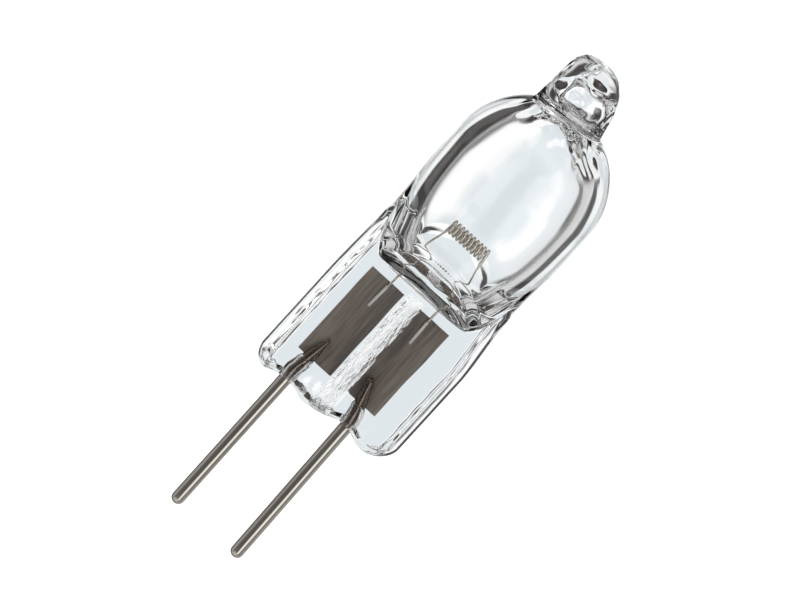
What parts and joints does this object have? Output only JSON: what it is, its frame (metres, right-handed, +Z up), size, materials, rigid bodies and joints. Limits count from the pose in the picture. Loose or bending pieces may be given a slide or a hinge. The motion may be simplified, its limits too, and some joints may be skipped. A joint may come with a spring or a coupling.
{
  "type": "halogen capsule bulb",
  "caption": "Clear quartz capsule bulb with a pressed flat foot, sealed foils, a coiled filament across the bulb, a melted tip-off and two straight pins.",
  "frame": {"origin": "on the table, in the middle of the lying lamp's box", "axes": "+X along the lamp as it lies, from the pins to the tip-off; +Y across the pinch, towards the left pin; +Z up"},
  "size_m": [0.0308, 0.0086, 0.0092],
  "materials": {
    "quartz_glass": "clear, fire polished",
    "pin_metal": "drawn, slightly dull",
    "foil_metal": "rolled, matt",
    "filament_wire": "drawn, bright"
  },
  "bodies": {
    "root": {"quartz_envelope": "quartz_glass", "pin_left": "pin_metal", "pin_right": "pin_metal", "foil_left": "foil_metal", "foil_right": "foil_metal", "filament": "filament_wire"}
  },
  "joints": []
}
